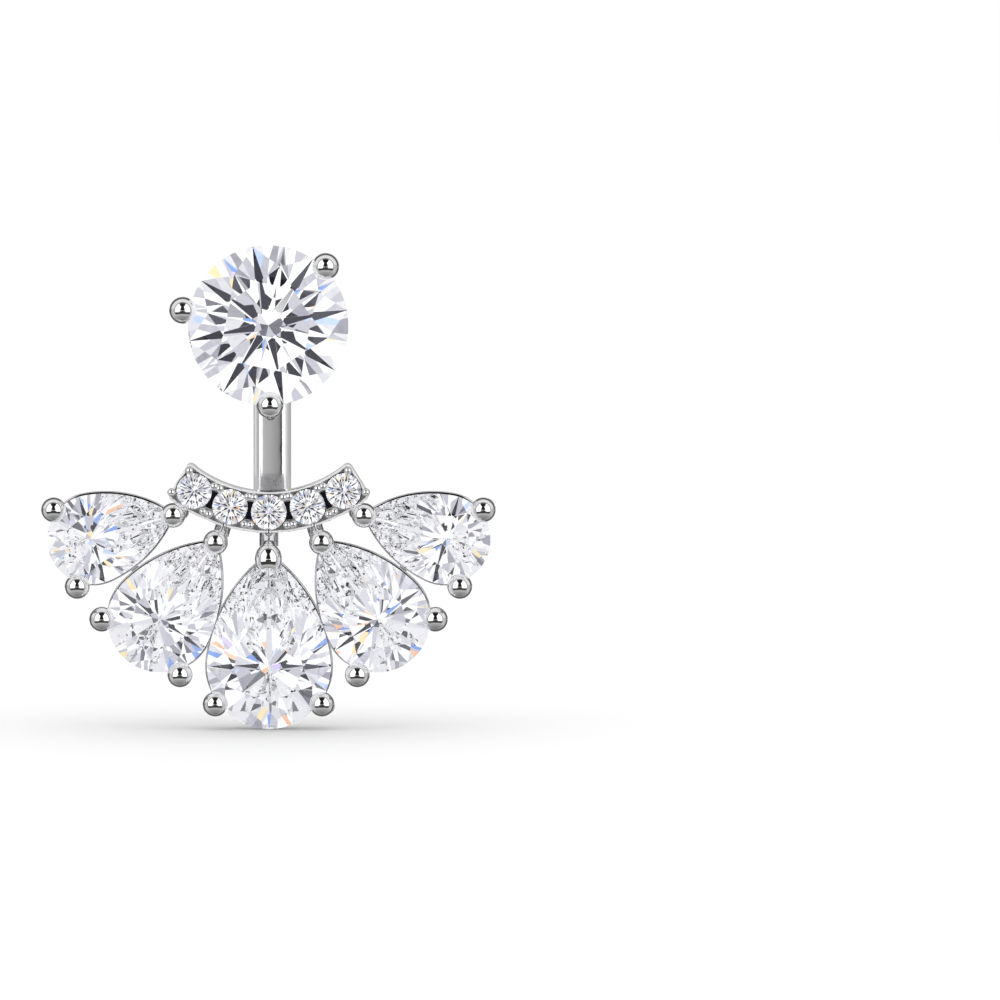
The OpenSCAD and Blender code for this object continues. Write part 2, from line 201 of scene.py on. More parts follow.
# What the metal sees on the walls. Each layer is a tone, and the degrees over which it fades in and out,
# counted away from the viewer's direction and above eye level
Layer = namedtuple("Layer", "tone away height")
DARK_BACK = Layer(0.08, ((108, 126),), ())
FAR_BACK = Layer(0.5, ((138, 158),), ())
BRIGHT_RING = Layer(0.85, ((74, 80), (118, 106)), ((2, 14),))
WINDOW_FRAME = Layer(0.2, ((66, 70), (80, 74)), ((-19, -15),))
WINDOW = Layer(1.6, ((71, 67),), ((-15, -12),))
PILLAR = WINDOW._replace(tone=0.015)
PILLAR_WAIST = 32         # height of the pillar's waist, in degrees, and half its width there
PILLAR_HALF = 14
PILLAR_BLUR = 3
PILLAR_FLARE = (1.3, 0.25)  # how much wider it gets for each degree above and below its waist
SILL = Layer(0.05, ((75, 71),), ((-33, -28), (-12, -14)))
# Rows of the strip at eye level, which flat fronts reflect: degrees to the right, brightness
STRIP_TONES = (
    (-130, 0.12), (-108, 0.15), (-101, 0.72), (-95, 0.8), (-84, 0.45), (-68, 0.52), (-58, 1.4),
    (-11.4, 1.4), (-10.8, 0.77), (-9.9, 0.6), (-8.9, 0.53), (-1.7, 0.44), (3.8, 0.35), (6.3, 0.26),
    (6.9, 0.1), (7.2, 0.02), (9.3, 0.02), (9.6, 0.6), (9.9, 1.4),
    (46, 1.4), (66, 0.95), (90, 0.55), (114, 0.35), (130, 0.45),
)
STRIP_HEIGHT = ((-5, -4.3), (0, -0.8))
# Flags in the tent that the stones see. Rows: the share at which a tone starts, and its colour
FLAG_PLACE = (7.7, 3.3, 1.9)
FLAG_SCALE = 6
FLAGS = (
    (0.0, (0.03, 0.03, 0.05)), (0.06, (0.13, 0.13, 0.17)), (0.1, (0.36, 0.36, 0.42)),
    (0.18, (0.6, 0.6, 0.68)), (0.32, (0.82, 0.82, 0.88)), (0.52, (1.2, 1.2, 1.2)),
)
# Small coloured sparks over them, in rows of the same kind
SPARK_PLACE = (1.7, 8.3, 4.1)
SPARK_SCALE = 15
SPARK_SHARE = 0.08        # of the tent that they cover
SPARKS = (
    (0.0, (0.2, 0.4, 0.95)), (0.25, (0.6, 0.78, 1.15)), (0.45, (1.15, 0.68, 0.42)),
    (0.62, (1.2, 0.95, 0.5)), (0.88, (0.8, 0.65, 1.1)),
)
DEEP = (4.5, 7.5)         # bounces over which a ray in a stone comes to see only the plain tent
DEEP_TENT = (1.05, 1.05, 1.08)
TENT_BACK = (75, 105)     # degrees from the viewer's direction over which the plain back begins
BACK_TENT = (0.94, 0.94, 0.98)
OPENING = 14              # half angle of the viewer's dark opening, in degrees
OPENING_TONE = (0.015, 0.015, 0.025)
BOUNCES = 24


def deselect_all():
    if bpy.context.object and bpy.context.object.mode != "OBJECT":
        bpy.ops.object.mode_set(mode="OBJECT")
    bpy.ops.object.select_all(action="DESELECT")


def take_up(piece):
    """Selects one piece alone and makes it the active one."""
    deselect_all()
    piece.select_set(True)
    bpy.context.view_layer.objects.active = piece


def settle():
    """Puts the selected piece's place, turn and scale in its mesh."""
    bpy.ops.object.transform_apply(location=True, rotation=True, scale=True)
    return bpy.context.object


def start_shaping():
    """Opens the new primitive at its place, with everything selected."""
    settle()
    bpy.ops.object.mode_set(mode="EDIT")
    bpy.ops.mesh.select_mode(type="VERT")
    bpy.ops.mesh.select_all(action="SELECT")


def stop_shaping():
    """Closes open ends, turns every face outwards and leaves edit mode."""
    bpy.ops.mesh.select_all(action="SELECT")
    bpy.ops.mesh.remove_doubles(threshold=1e-4)
    bpy.ops.mesh.fill_holes(sides=0)
    bpy.ops.mesh.normals_make_consistent(inside=False)
    bpy.ops.object.mode_set(mode="OBJECT")
    return bpy.context.object


def pick(kind, test):
    """Selects the open piece's faces or vertices that pass a test, and nothing else."""
    bpy.ops.mesh.select_mode(type=kind)
    bpy.ops.mesh.select_all(action="DESELECT")
    bpy.ops.object.mode_set(mode="OBJECT")
    mesh = bpy.context.object.data
    for element in mesh.polygons if kind == "FACE" else mesh.vertices:
        element.select = test(element)
    bpy.ops.object.mode_set(mode="EDIT")


def turn(degrees, centre, axis, steps):
    """Sweeps what is selected round an axis."""
    bpy.ops.mesh.spin(steps=steps, angle=-math.radians(degrees), center=centre, axis=axis)


def pull(move):
    """Extrudes what is selected."""
    bpy.ops.mesh.extrude_region_move(TRANSFORM_OT_translate={"value": move})


def cut_flat(place, facing):
    """Cuts off what lies beyond a plane, and closes the open piece there."""
    bpy.ops.mesh.select_all(action="SELECT")
    bpy.ops.mesh.bisect(plane_co=place, plane_no=facing, use_fill=True, clear_outer=True, threshold=1e-5)


def keep_outline():
    """Leaves only the open piece's outline, selected and ready to be swept."""
    bpy.ops.mesh.select_all(action="SELECT")
    bpy.ops.mesh.delete(type="ONLY_FACE")
    bpy.ops.mesh.select_mode(type="EDGE")
    bpy.ops.mesh.select_all(action="SELECT")


def add_section(centre, across, width, height, corner):
    """Opens a rectangle that stands along z, with rounded corners, as an outline to sweep."""
    deselect_all()
    turned = (math.radians(90), 0, math.atan2(across.y, across.x))
    bpy.ops.mesh.primitive_plane_add(size=1, location=centre, rotation=turned)
    bpy.context.object.scale = (width, height, 1)
    start_shaping()
    if corner:
        bpy.ops.mesh.bevel(offset=corner, offset_pct=0, segments=3, affect="VERTICES")
    keep_outline()


def draw_wire(points, radius):
    """A round wire along straight runs with rounded bends between them."""
    bend_r = radius * WIRE_BEND
    points = [Vector(p) for p in points]
    ahead = (points[1] - points[0]).normalized()
    deselect_all()
    facing = ahead.to_track_quat("Z", "Y").to_euler()
    bpy.ops.mesh.primitive_circle_add(vertices=28, radius=radius, location=points[0], rotation=facing)
    start_shaping()
    here = points[0]
    for corner, after in zip(points[1:-1], points[2:]):
        before, ahead = ahead, (after - corner).normalized()
        angle = before.angle(ahead)
        reach = bend_r * math.tan(angle / 2)
        axis = before.cross(ahead).normalized()
        pull(corner - before * reach - here)
        turn(math.degrees(angle), corner - before * reach + axis.cross(before) * bend_r, axis, 6)
        here = corner + ahead * reach
    pull(points[-1] - here)
    return stop_shaping()


def add_ball(centre, radius, around=48):
    deselect_all()
    rings = around // 2
    bpy.ops.mesh.primitive_uv_sphere_add(segments=around, ring_count=rings, radius=radius, location=centre)
    return settle()


def add_drum(centre, radius, height, around=64):
    deselect_all()
    bpy.ops.mesh.primitive_cylinder_add(vertices=around, radius=radius, depth=height, location=centre)
    return settle()


def join(pieces):
    deselect_all()
    for piece in pieces:
        piece.select_set(True)
    bpy.context.view_layer.objects.active = pieces[0]
    if len(pieces) > 1:
        bpy.ops.object.join()
    return bpy.context.object


def place_copy(piece, x=0, y=0, z=0, angle=0):
    """A copy with its own mesh, turned about the viewing axis and then moved."""
    take_up(piece)
    bpy.ops.object.duplicate(linked=False)
    copy = bpy.context.object
    copy.rotation_euler = (0, 0, math.radians(angle))
    copy.location = (x, y, z)
    return settle()


def remove(piece):
    take_up(piece)
    bpy.ops.object.delete()


def apply_modifier(piece, kind, **settings):
    take_up(piece)
    modifier = piece.modifiers.new(kind.lower(), kind)
    for name, value in settings.items():
        setattr(modifier, name, value)
    bpy.ops.object.modifier_apply(modifier=modifier.name)


def round_edges(piece, width):
    apply_modifier(piece, "BEVEL", width=width, segments=3, limit_method="ANGLE",
                   angle_limit=math.radians(35), use_clamp_overlap=True)


def cut_away(piece, cutter):
    apply_modifier(piece, "BOOLEAN", operation="DIFFERENCE", solver="MANIFOLD", object=cutter)
    remove(cutter)


def finish_piece(piece, name, body, node, material):
    """Stands a piece up in metres, smooths it, and puts it on its body."""
    take_up(piece)
    piece.rotation_euler = (math.radians(90), 0, 0)
    piece.scale = (MM, MM, MM)
    settle()
    bpy.ops.object.shade_smooth_by_angle(angle=math.radians(32))
    apply_modifier(piece, "WEIGHTED_NORMAL", keep_sharp=True)
    piece.name = name
    piece.data.materials.clear()
    piece.data.materials.append(material)
    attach(piece, body)
    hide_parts(node)


def ball_rise(ball_r, out, slope):
    """How far a ball's middle stands in front of the girdle to clear the stone's crown."""
    slope = math.radians(slope)
    return (ball_r + GAP - out * math.sin(slope)) / math.cos(slope)


def mirrored(pear):
    """The pear on the other side of the middle."""
    return pear._replace(x=-pear.x, axis=180 - pear.axis)


PEARS = (mirrored(END_PEAR), mirrored(SIDE_PEAR), MID_PEAR, SIDE_PEAR, END_PEAR)


def polar(radius, degrees):
    angle = math.radians(degrees)
    return Vector((math.cos(angle), math.sin(angle), 0)) * radius


def on_band(angle, along=0, out=0, z=0):
    """A place on the band: degrees from its lowest point, then along it, and out from its middle line."""
    place = Vector((0, -BAND_DROP, 0)) + polar(BAND_MID_R + out, angle - 90)
    return place + polar(along, angle) + FRONT * z


def make_prong(radius, out, wire_r, ball_r, foot, elbow_z):
    """A prong along +x: from its foot under the stone, up past the girdle, and in to its ball."""
    side = radius + wire_r + GAP
    ball = Vector((radius + out, 0, ball_rise(ball_r, out, CROWN_SLOPE)))
    wire = draw_wire((foot, (side, 0, elbow_z), (side, 0, WIRE_TOP), ball), wire_r)
    return join((wire, add_ball(ball, ball_r)))


def make_post_and_cup():
    """Pointed ear post behind a small dished cup."""
    post = add_drum((0, 0, (CUP_Z + POST_BACK) / 2), POST_R, CUP_Z - POST_BACK, 48)
    bpy.ops.object.mode_set(mode="EDIT")
    pick("FACE", lambda face: face.normal.z < -0.9)
    bpy.ops.mesh.bevel(offset=POST_POINT, segments=5, affect="EDGES", profile=0.6)
    stop_shaping()
    cup = add_drum((0, 0, CUP_Z + CUP_T / 2), CUP_R, CUP_T)
    bpy.ops.object.mode_set(mode="EDIT")
    pick("FACE", lambda face: face.normal.z > 0.9)
    bpy.ops.mesh.inset(thickness=CUP_RIM)
    pull((0, 0, -CUP_DISH))
    bpy.ops.mesh.inset(thickness=0.15)
    stop_shaping()
    round_edges(cup, 0.05)
    return join((post, cup))


def make_gallery():
    """Wire ring that ties the stud's prongs together, part of the way up."""
    elbow_r = STUD_R + STUD_WIRE_R + GAP
    ring_r = STUD_FOOT_R + GALLERY_SHARE * (elbow_r - STUD_FOOT_R) + GALLERY_OUT
    ring_z = STUD_FOOT_Z + GALLERY_SHARE * (STUD_ELBOW_Z - STUD_FOOT_Z)
    deselect_all()
    bpy.ops.mesh.primitive_circle_add(vertices=24, radius=GALLERY_WIRE_R, location=(ring_r, 0, ring_z),
                                      rotation=(math.radians(90), 0, 0))
    start_shaping()
    turn(360, (0, 0, 0), FRONT, 96)
    return stop_shaping()


def make_stud(metal):
    """The stud's setting. It isn't seen through the stones, so that they stay clear."""
    parts = [make_post_and_cup(), make_gallery()]
    for angle, out in STUD_PRONGS:
        foot = (STUD_FOOT_R, 0, STUD_FOOT_Z - STUD_GIRDLE_Z)
        prong = make_prong(STUD_R, out, STUD_WIRE_R, STUD_BALL_R, foot, STUD_ELBOW_Z - STUD_GIRDLE_Z)
        parts.append(place_copy(prong, z=STUD_GIRDLE_Z, angle=angle))
        remove(prong)
    setting = join(parts)
    finish_piece(setting, "stud_prong_setting", "stud", "stud_setting", metal)
    setting.visible_transmission = False


def make_nut_plate(z):
    """The nut's plate, flat above and below, with the bore for the post."""
    plate = add_drum((0, 0, z), NUT_W / 2, NUT_T, 96)
    bpy.ops.object.mode_set(mode="EDIT")
    for side in (-1, 1):
        cut_flat((0, side * NUT_W * NUT_FLAT, 0), (0, side, 0))
    stop_shaping()
    cut_away(plate, add_drum((0, 0, z), NUT_BORE_R, 2 * NUT_T))
    round_edges(plate, SHEET_ROUND)
    return plate


def make_nut_roll(side, plate_z):
    """A roll of sheet behind the plate, which grips the post from one side."""
    centre = Vector((side * (NUT_BORE_R + ROLL_R), 0, plate_z - NUT_T / 2 - ROLL_R + ROLL_SINK))
    sheet = centre + FRONT * (ROLL_R - ROLL_SHEET / 2)
    add_section(sheet, Vector((0, 1, 0)), NUT_W / 2, ROLL_SHEET, SHEET_ROUND)
    turn(side * ROLL_TURN, centre, (0, 1, 0), 48)
    return stop_shaping()


def make_nut(metal):
    """Friction nut: the plate, and two rolls of sheet that hold the post between them."""
    plate_z = -LOBE_GAP / 2 - BAR_T - NUT_GAP - NUT_T / 2
    parts = [make_nut_plate(plate_z)]
    for side in (-1, 1):
        parts.append(make_nut_roll(side, plate_z))
    finish_piece(join(parts), "butterfly_nut", "stud", "ear_nut", metal)


def make_loop():
    """The jacket's eye, which turns on the ear post."""
    middle = (LOOP_R + LOOP_BORE_R) / 2
    z = -LOBE_GAP / 2 - BAR_T / 2
    add_section(Vector((middle, 0, z)), Vector((1, 0, 0)), LOOP_R - LOOP_BORE_R, BAR_T, 0.1)
    turn(360, (0, 0, 0), FRONT, 72)
    return stop_shaping()


def draw_bar_outline(mid_z):
    """Opens the bar's outline at its top: a crowned face in front, between soft chamfers."""
    face_z = mid_z + BAR_T / 2 - 1e-4
    face_half = BAR_W / 2 - BAR_CHAMFER - BAR_SHOULDER
    standing = (math.radians(90), 0, 0)
    deselect_all()
    bpy.ops.mesh.primitive_plane_add(size=1, location=(0, BAR_TOP, mid_z), rotation=standing)
    bpy.context.object.scale = (BAR_W, BAR_T, 1)
    start_shaping()
    pick("VERT", lambda vertex: vertex.co.z > mid_z)
    bpy.ops.mesh.bevel(offset=BAR_CHAMFER, offset_pct=0, segments=3, profile=0.3, affect="VERTICES")
    pick("VERT", lambda vertex: vertex.co.z > face_z)
    bpy.ops.mesh.bevel(offset=BAR_SHOULDER, offset_pct=0, segments=2, affect="VERTICES")
    pick("VERT", lambda vertex: vertex.co.z > face_z)
    bpy.ops.mesh.subdivide(number_cuts=BAR_FACE_CUTS)
    for k in range(1, BAR_FACE_CUTS // 2 + 2):
        across = face_half * (1 - 2 * k / (BAR_FACE_CUTS + 1))
        pick("VERT", lambda vertex: vertex.co.z > mid_z + 0.1 and abs(abs(vertex.co.x) - across) < 1e-3)
        bpy.ops.transform.translate(value=(0, 0, BAR_CROWN * (1 - (across / face_half) ** 2)))
    keep_outline()


def make_bar():
    """Bar behind the lobe, bend, and run forward to the band."""
    mid_z = -LOBE_GAP / 2 - BAR_T / 2
    bend_y = BEND_R - RUN_DROP
    run_z = mid_z + BEND_R
    draw_bar_outline(mid_z)
    pull((0, bend_y - BAR_TOP + BEND_EASE, 0))
    pull((0, -BEND_EASE, 0))
    turn(-90, (0, bend_y, run_z), (1, 0, 0), 16)
    pull((0, 0, BAND_FRONT - BAND_DEPTH + BAR_SINK - run_z))
    return stop_shaping()


def is_end_corner(place, ends, edge_r):
    """Tells whether a place is on the band's end, at its inner or outer edge."""
    out = (Vector((place.x, place.y, 0)) - Vector((0, -BAND_DROP, 0))).length
    on_end = any(abs((place - end).dot(facing)) < 1e-3 for end, facing in ends)
    return on_end and abs(out - edge_r) < 0.05


def sweep_band():
    """Opens the band's body, swept past both ends, with one long step there for a clean cut."""
    long_step = 8
    even = SMALL_HALF * SMALL_PITCH + 4
    sweep = even + long_step
    height = BAND_DEPTH + RIM_H - RIM_EDGE
    start = on_band(-sweep, z=BAND_FRONT - BAND_DEPTH + height / 2)
    middle = (0, -BAND_DROP, 0)
    add_section(start, polar(1, -90 - sweep), BAND_OUTER_R - BAND_INNER_R, height, 0)
    turn(long_step, middle, FRONT, 1)
    turn(2 * even, middle, FRONT, 44)
    turn(long_step, middle, FRONT, 1)
    stop_shaping()
    bpy.ops.object.mode_set(mode="EDIT")


def trim_band_ends():
    """Cuts the open band off square beyond its last stones, and rounds the corners."""
    ends = []
    for side in (-1, 1):
        angle = side * SMALL_HALF * SMALL_PITCH
        place = on_band(angle, along=side * BAND_END)
        facing = polar(side, angle)
        cut_flat(place, facing)
        ends.append((place, facing))
    for edge_r, corner_r in ((BAND_INNER_R, BAND_UPPER_CORNER), (BAND_OUTER_R, BAND_LOWER_CORNER)):
        pick("VERT", lambda vertex: is_end_corner(vertex.co, ends, edge_r))
        bpy.ops.mesh.bevel(offset=corner_r, segments=6, affect="EDGES")


def sink_floor():
    """Leaves a rim with soft edges round the open band's front, and sinks the floor inside it."""
    pick("FACE", lambda face: face.normal.z > 0.98 and face.center.z > BAND_FRONT)
    bpy.ops.mesh.dissolve_faces()
    bpy.ops.mesh.inset(thickness=RIM_EDGE, depth=RIM_EDGE)
    bpy.ops.mesh.inset(thickness=RIM_W - 2 * RIM_EDGE)
    bpy.ops.mesh.inset(thickness=RIM_EDGE, depth=-RIM_EDGE)
    pull((0, 0, RIM_EDGE - RIM_H))


def cut_seats(band):
    """Sinks a seat under each small stone, with an open hole in its middle."""
    for k in range(-SMALL_HALF, SMALL_HALF + 1):
        angle = SMALL_PITCH * k
        cut_away(band, add_drum(on_band(angle, z=BAND_FRONT - SEAT_DEPTH + 0.5), SMALL_R + GAP, 1))
        cut_away(band, add_drum(on_band(angle, z=BAND_FRONT - 1), SEAT_HOLE_R, 3, 40))


def cut_slots(band):
    """Cuts a slot across the floor between each two small stones."""
    for k in range(-SMALL_HALF, SMALL_HALF):
        angle = SMALL_PITCH * (k + 0.5)
        place = on_band(angle, z=BAND_FRONT)
        deselect_all()
        bpy.ops.mesh.primitive_cube_add(size=1, location=place, rotation=(0, 0, math.radians(angle)))
        bpy.context.object.scale = (SLOT_W, SLOT_L, 2 * SLOT_DEPTH)
        cut_away(band, settle())


def make_band():
    """The pave band: a swept body with a raised rim, and seats, holes and slots cut into it."""
    sweep_band()
    trim_band_ends()
    sink_floor()
    band = stop_shaping()
    cut_seats(band)
    cut_slots(band)
    return band


def make_beads():
    """Beads raised between the small stones to hold them."""
    bead = add_ball((0, 0, 0), BEAD_R, 24)
    beads = []
    for k in range(-SMALL_HALF, SMALL_HALF + 1):
        for side in (-1, 1):
            for row in (-BEAD_ROW, BEAD_ROW):
                spread = math.degrees(math.asin(BEAD_SPREAD / (BAND_MID_R + row)))
                angle = SMALL_PITCH * (k + side / 2) - side * spread
                beads.append(place_copy(bead, *on_band(angle, out=row, z=BAND_FRONT + BEAD_RISE)))
    remove(bead)
    return join(beads)


def side_arc(r, h, b):
    """How far the centre of a pear's side arc lies beyond its round end's centre."""
    return (h * h - r * r) / (2 * (r - h * math.sin(b)))


def make_rail(r, h, shoulder, height, top_z):
    """A rail along a pear's outline: a side arc from the tip, the round end, and the other side arc."""
    b = math.radians(shoulder)
    q = side_arc(r, h, b)
    centre = Vector((q * math.sin(b), -q * math.cos(b), 0))
    tip = Vector((-h, 0, 0))
    across = (tip - centre).normalized()
    z = top_z - height / 2
    middle = centre + across * (q + r - RAIL_W / 2) + FRONT * z
    add_section(middle, across, RAIL_W, height, RAIL_ROUND)
    shoulder_point = polar(r, 90 + shoulder)
    side_turn = math.degrees((tip - centre).angle(shoulder_point - centre))
    turn(-side_turn, centre, FRONT, 20)
    turn(-(180 + 2 * shoulder), (0, 0, 0), FRONT, 48)
    turn(-side_turn, Vector((centre.x, -centre.y, 0)), FRONT, 20)
    pick("VERT", lambda vertex: vertex.co.x > 1e-3)
    bpy.ops.transform.resize(value=(RAIL_TUCK, 1, 1), center_override=(0, 0, 0))
    return stop_shaping()


def make_basket(pear):
    """Open setting of one pear in its own axes: two rails, two ball prongs and the post behind the tip."""
    r, h = pear.half_width, pear.length
    foot_z = -FOOT_SHARE * r - FOOT_T / 2
    elbow_z = -RAIL_DOWN - RAIL_T / 2
    foot_r, foot_h = FOOT_SCALE * r, FOOT_SCALE * h
    upper = make_rail(r + RAIL_OUT, h + RAIL_OUT, pear.shoulder, RAIL_T, -RAIL_DOWN)
    lower = make_rail(foot_r + RAIL_W / 2, foot_h + RAIL_W / 2, pear.shoulder, FOOT_T, -FOOT_SHARE * r)
    prong = make_prong(r, pear.ball_out, WIRE_R, BALL_R, (foot_r, 0, foot_z), elbow_z)
    prongs = [place_copy(prong, angle=side * PRONG_ANGLE) for side in (-1, 1)]
    remove(prong)
    post_x = -h - WIRE_R - GAP
    tip_ball = Vector((-h, 0, ball_rise(BALL_R, 0, TIP_SLOPE)))
    bends = ((post_x, 0, elbow_z), (post_x, 0, TIP_WIRE_TOP))
    post = draw_wire(((-foot_h, 0, foot_z), *bends, tip_ball), WIRE_R)
    tip = make_hood(h) if pear.x == 0 else add_ball(tip_ball, BALL_R)
    return join([upper, lower, post, tip] + prongs)


def make_hood(h):
    """The middle pear's hood over its tip: an egg with its lower end cut off in an arch."""
    middle = Vector((HOOD_IN - h, 0, ball_rise(HOOD_R, -HOOD_IN, TIP_SLOPE)))
    hood = add_ball(middle, HOOD_R, 64)
    bpy.ops.object.mode_set(mode="EDIT")
    for side, stretch in ((-1, HOOD_ABOVE), (1, HOOD_BELOW)):
        pick("VERT", lambda vertex: side * (vertex.co.x - middle.x) > 1e-3)
        bpy.ops.transform.resize(value=(stretch, 1, 1), center_override=middle)
    stop_shaping()
    cut_away(hood, add_drum((middle.x + HOOD_ARCH + HOOD_ARCH_R, 0, middle.z), HOOD_ARCH_R, 3 * HOOD_R))
    round_edges(hood, 0.04)
    return hood


def tip_place(pear):
    """Where the post stands behind a pear's tip."""
    return Vector((pear.x, pear.y, 0)) - polar(pear.length + WIRE_R + GAP, pear.axis)


def make_neck(pear, radius):
    """Neck from the band to a pear's tip post, with the small bead where it leaves the band."""
    z = PEAR_Z - radius - 0.02
    to = tip_place(pear)
    middle = Vector((0, -BAND_DROP, 0))
    away = (to - middle).normalized()
    root = middle + away * (BAND_OUTER_R - NECK_SINK)
    bead = middle + away * (BAND_OUTER_R - 0.02)
    neck = draw_wire((root + FRONT * z, to + FRONT * z), radius)
    return join((neck, add_ball(bead + FRONT * PEAR_Z, BEAD_R, 24)))


def make_pave(metal, bead_metal):
    """The band and its beads. Nothing mirrors them, as they would draw dark marks in the bar's foot."""
    band = make_band()
    beads = make_beads()
    finish_piece(band, "pave_band", "jacket", "jacket_frame", metal)
    finish_piece(beads, "pave_beads", "jacket", "jacket_frame", bead_metal)
    band.visible_glossy = False
    beads.visible_glossy = False


def make_loop_and_bar(metal):
    finish_piece(join((make_loop(), make_bar())), "loop_and_bar", "jacket", "jacket_frame", metal)


def make_fan(metal):
    """The pears' five settings, each kind modelled once. They aren't seen through the stones either."""
    for kind in (END_PEAR, SIDE_PEAR, MID_PEAR):
        basket = make_basket(kind)
        for number, pear in enumerate(PEARS, 1):
            if pear.half_width == kind.half_width:
                copy = place_copy(basket, pear.x, pear.y, PEAR_Z, pear.axis)
                finish_piece(copy, f"pear_basket_{number}", "jacket", "jacket_frame", metal)
                copy.visible_transmission = False
        remove(basket)


def make_necks(metal):
    """The necks from the band to the fan, and the solder between neighbouring settings."""
    necks = [make_neck(PEARS[1], NECK_R), make_neck(PEARS[2], MID_NECK_R), make_neck(PEARS[3], NECK_R)]
    for x, y in SOLDER_PLACES:
        for side in (-1, 1):
            place = (side * x, y, PEAR_Z - RAIL_DOWN - RAIL_T / 2)
            necks.append(add_drum(place, SOLDER_R, RAIL_T * 0.8, 32))
    finish_piece(join(necks), "necks_and_solder", "jacket", "jacket_frame", metal)


def add_camera():
    bpy.ops.object.camera_add()
    camera = bpy.context.object
    camera.data.lens = camera.data.sensor_width * VIEW_DISTANCE / VIEW_WIDTH
    camera.data.clip_start = 0.05
    camera.data.clip_end = 10
    back = Vector((0, -math.cos(VIEW_ANGLE), math.sin(VIEW_ANGLE)))
    camera.location = VIEW_CENTRE + back * VIEW_DISTANCE
    camera.rotation_euler = (math.radians(90) - VIEW_ANGLE, 0, 0)
    bpy.context.scene.camera = camera


def new_material(name):
    material = bpy.data.materials.new(name)
    material.use_nodes = True
    return material, material.node_tree, material.node_tree.nodes["Principled BSDF"]


def new_group(name, inputs, outputs):
    """A shader node group with its sockets, which are given as pairs of a name and a kind."""
    tree = bpy.data.node_groups.new(name, "ShaderNodeTree")
    for side, sockets in (("INPUT", inputs), ("OUTPUT", outputs)):
        for socket, kind in sockets:
            tree.interface.new_socket(socket, in_out=side, socket_type="NodeSocket" + kind)
    return tree, tree.nodes.new("NodeGroupInput").outputs, tree.nodes.new("NodeGroupOutput").inputs


def noise(tree, place, scale, detail):
    node = tree.nodes.new("ShaderNodeTexNoise")
    node.inputs["Detail"].default_value = detail
    tree.links.new(place, node.inputs["Vector"])
    if isinstance(scale, (int, float)):
        node.inputs["Scale"].default_value = scale
    else:
        tree.links.new(scale, node.inputs["Scale"])
    return node.outputs["Fac"]


def make_polish_marks():
    """Cloudy polish and fine hairlines, as masks, for metals and stones."""
    tree, given, out = new_group("polish_marks", (("Place", "Vector"), ("Cloud Scale", "Float")),
                                 (("Cloud", "Float"), ("Height", "Float")))
    cloud = fade(tree, noise(tree, given["Place"], given["Cloud Scale"], 3), 0.35, 0.65)
    along = tree.nodes.new("ShaderNodeMapping")
    along.inputs["Rotation"].default_value = (0.3, 0.5, 0.2)
    along.inputs["Scale"].default_value = (1, 1, 12)
    tree.links.new(given["Place"], along.inputs["Vector"])
    hairlines = noise(tree, along.outputs["Vector"], HAIRLINES, 2)
    fine = math_node(tree, "MULTIPLY", hairlines, HAIRLINE_DEPTH)
    tree.links.new(cloud, out["Cloud"])
    tree.links.new(math_node(tree, "ADD", fine, cloud), out["Height"])
    return tree


def add_marks(tree, group, cloud_scale):
    """Places the polish marks in a material, and returns their two masks."""
    node = tree.nodes.new("ShaderNodeGroup")
    node.node_tree = group
    node.inputs["Cloud Scale"].default_value = cloud_scale
    tree.links.new(object_place(tree), node.inputs["Place"])
    return node.outputs["Cloud"], node.outputs["Height"]


def value_between(tree, mask, low, high):
    node = tree.nodes.new("ShaderNodeMapRange")
    node.inputs["To Min"].default_value = low
    node.inputs["To Max"].default_value = high
    tree.links.new(mask, node.inputs["Value"])
    return node.outputs["Result"]


def part_of(tree, vector, axis):
    split = tree.nodes.new("ShaderNodeSeparateXYZ")
    tree.links.new(vector, split.inputs[0])
    return split.outputs[axis]


def object_place(tree):
    return tree.nodes.new("ShaderNodeTexCoord").outputs["Object"]


def face_normal(tree):
    return tree.nodes.new("ShaderNodeNewGeometry").outputs["Normal"]


def polished_metal(name, group, tones, cloud_scale=METAL_CLOUDS):
    """Mirror polish with faint clouds and hairlines."""
    material, tree, shader = new_material(name)
    cloud, height = add_marks(tree, group, cloud_scale)
    bump = tree.nodes.new("ShaderNodeBump")
    bump.inputs["Strength"].default_value = POLISH_BUMP
    bump.inputs["Distance"].default_value = 0.01 * MM
    shader.inputs["Metallic"].default_value = 1
    tree.links.new(mix_colour(tree, cloud, *tones), shader.inputs["Base Color"])
    tree.links.new(value_between(tree, cloud, *POLISH), shader.inputs["Roughness"])
    tree.links.new(height, bump.inputs["Height"])
    tree.links.new(bump.outputs["Normal"], shader.inputs["Normal"])
    return material


def front_mask(tree, low, high):
    """Marks front faces, from 0 at one depth to 1 at another, in millimetres forward of the lobe."""
    depth = part_of(tree, object_place(tree), "Y")
    facing = part_of(tree, face_normal(tree), "Y")
    front = fade(tree, facing, -0.8, -0.95)
    return math_node(tree, "MULTIPLY", front, fade(tree, depth, -low * MM, -high * MM))


def paint_light_on_front(material, low, high, tone):
    """Paints light or shade as a tone over a metal's front faces by such a mask, and returns the mask."""
    tree = material.node_tree
    colour = tree.nodes["Principled BSDF"].inputs["Base Color"]
    mask = front_mask(tree, low, high)
    tree.links.new(mix_colour(tree, mask, colour.links[0].from_socket, tone), colour)
    return mask


def turn_satin(material, mask, roughness):
    """Raises a metal's roughness to this where a mask is 1."""
    tree = material.node_tree
    polish = tree.nodes["Principled BSDF"].inputs["Roughness"]
    satin = math_node(tree, "MULTIPLY", mask, roughness)
    tree.links.new(math_node(tree, "MAXIMUM", polish.links[0].from_socket, satin), polish)


